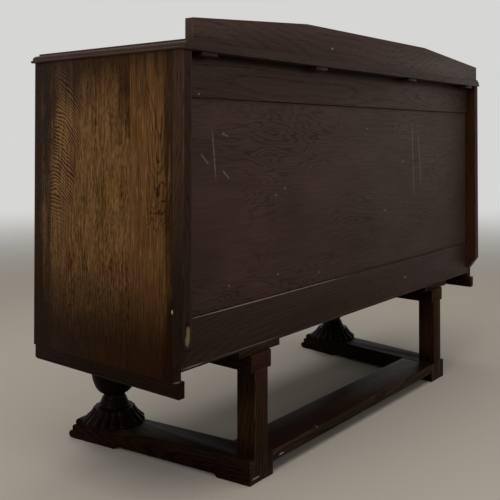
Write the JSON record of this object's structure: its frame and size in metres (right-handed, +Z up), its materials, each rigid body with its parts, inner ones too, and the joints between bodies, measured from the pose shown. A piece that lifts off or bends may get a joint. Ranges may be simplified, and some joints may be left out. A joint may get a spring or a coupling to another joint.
{
  "type": "sideboard",
  "caption": "Low oak sideboard with cupboards, drawers, a shaped gallery and a framed back, on a sledge stand with square rear and turned, gadrooned front legs.",
  "frame": {"origin": "on the floor, under the middle of the whole outline", "axes": "+Z up, front faces -Y, +X to the right of someone who faces the front"},
  "size_m": [1.38, 0.5382, 0.97],
  "materials": {
    "oak_show_wood": "semi-matt stained oak veneer and solid oak",
    "dark_oak": "dark stained oak",
    "stained_ply": "dark stained ply",
    "stand_oak": "dark polished oak",
    "inner_wood": "bare wood",
    "brass_fittings": "aged brass",
    "steel_screws": "dull steel"
  },
  "bodies": {
    "root": {"top_board": "oak_show_wood", "gallery": "dark_oak", "glue_blocks": "dark_oak", "side_left": "oak_show_wood", "side_right": "oak_show_wood", "rear_strip_left": "dark_oak", "rear_strip_right": "dark_oak", "strip_screws": "steel_screws", "back_top_rail": "dark_oak", "back_panel": "stained_ply", "back_bottom_rail": "dark_oak", "bottom_board": "dark_oak", "partition_left": "dark_oak", "partition_right": "dark_oak", "frieze_rail": "oak_show_wood", "bottom_rail": "oak_show_wood", "base_moulding_front": "dark_oak", "base_moulding_left": "dark_oak", "base_moulding_right": "dark_oak", "drawer_rails": "oak_show_wood", "drawer_runners": "inner_wood", "stop_blocks": "inner_wood", "shelves": "inner_wood", "shelf_bearers": "inner_wood", "front_bearer": "stand_oak", "bearer_left": "stand_oak", "bearer_right": "stand_oak", "bearer_cleats": "stand_oak", "rear_leg_left": "stand_oak", "rear_leg_right": "stand_oak", "runner_left": "stand_oak", "runner_right": "stand_oak", "stretcher": "stand_oak", "leg_bell_left": "stand_oak", "leg_bell_right": "stand_oak", "front_leg_left": "stand_oak", "front_leg_right": "stand_oak", "hinges_fixed": "brass_fittings"},
    "door_left": {"door_left_frame": "oak_show_wood", "door_left_panel": "oak_show_wood", "door_left_hinges": "brass_fittings", "door_left_plate": "brass_fittings"},
    "door_right": {"door_right_frame": "oak_show_wood", "door_right_panel": "oak_show_wood", "door_right_hinges": "brass_fittings", "door_right_plate": "brass_fittings"},
    "drawer_top": {"drawer_top_front": "oak_show_wood", "drawer_top_box": "inner_wood", "drawer_top_plate": "brass_fittings"},
    "drawer_middle": {"drawer_middle_front": "oak_show_wood", "drawer_middle_box": "inner_wood", "drawer_middle_plate": "brass_fittings"},
    "drawer_bottom": {"drawer_bottom_front": "oak_show_wood", "drawer_bottom_box": "inner_wood", "drawer_bottom_plate": "brass_fittings"},
    "handle_door_left": {"door_left_drop": "brass_fittings"},
    "handle_door_right": {"door_right_drop": "brass_fittings"},
    "handle_drawer_top": {"drawer_top_drop": "brass_fittings"},
    "handle_drawer_middle": {"drawer_middle_drop": "brass_fittings"},
    "handle_drawer_bottom": {"drawer_bottom_drop": "brass_fittings"}
  },
  "joints": [
    {"name": "door_left_swing", "type": "hinge", "parent": "root", "child": "door_left", "pos_m": [-0.663, -0.18942, 0.572], "axis": [0, 0, -1], "range_deg": [0, 105]},
    {"name": "door_right_swing", "type": "hinge", "parent": "root", "child": "door_right", "pos_m": [0.663, -0.18942, 0.572], "axis": [0, 0, 1], "range_deg": [0, 105]},
    {"name": "drawer_top_slide", "type": "slide", "parent": "root", "child": "drawer_top", "axis": [0, -1, 0], "range_m": [0, 0.3]},
    {"name": "drawer_middle_slide", "type": "slide", "parent": "root", "child": "drawer_middle", "axis": [0, -1, 0], "range_m": [0, 0.3]},
    {"name": "drawer_bottom_slide", "type": "slide", "parent": "root", "child": "drawer_bottom", "axis": [0, -1, 0], "range_m": [0, 0.3]},
    {"name": "door_left_handle_swing", "type": "hinge", "parent": "door_left", "child": "handle_door_left", "pos_m": [-0.2675, -0.19742, 0.591], "axis": [-1, 0, 0], "range_deg": [0, 80]},
    {"name": "door_right_handle_swing", "type": "hinge", "parent": "door_right", "child": "handle_door_right", "pos_m": [0.2675, -0.19742, 0.591], "axis": [-1, 0, 0], "range_deg": [0, 80]},
    {"name": "drawer_top_handle_swing", "type": "hinge", "parent": "drawer_top", "child": "handle_drawer_top", "pos_m": [0, -0.19742, 0.788], "axis": [-1, 0, 0], "range_deg": [0, 80]},
    {"name": "drawer_middle_handle_swing", "type": "hinge", "parent": "drawer_middle", "child": "handle_drawer_middle", "pos_m": [0, -0.19742, 0.6105], "axis": [-1, 0, 0], "range_deg": [0, 80]},
    {"name": "drawer_bottom_handle_swing", "type": "hinge", "parent": "drawer_bottom", "child": "handle_drawer_bottom", "pos_m": [0, -0.19742, 0.4135], "axis": [-1, 0, 0], "range_deg": [0, 80]}
  ]
}
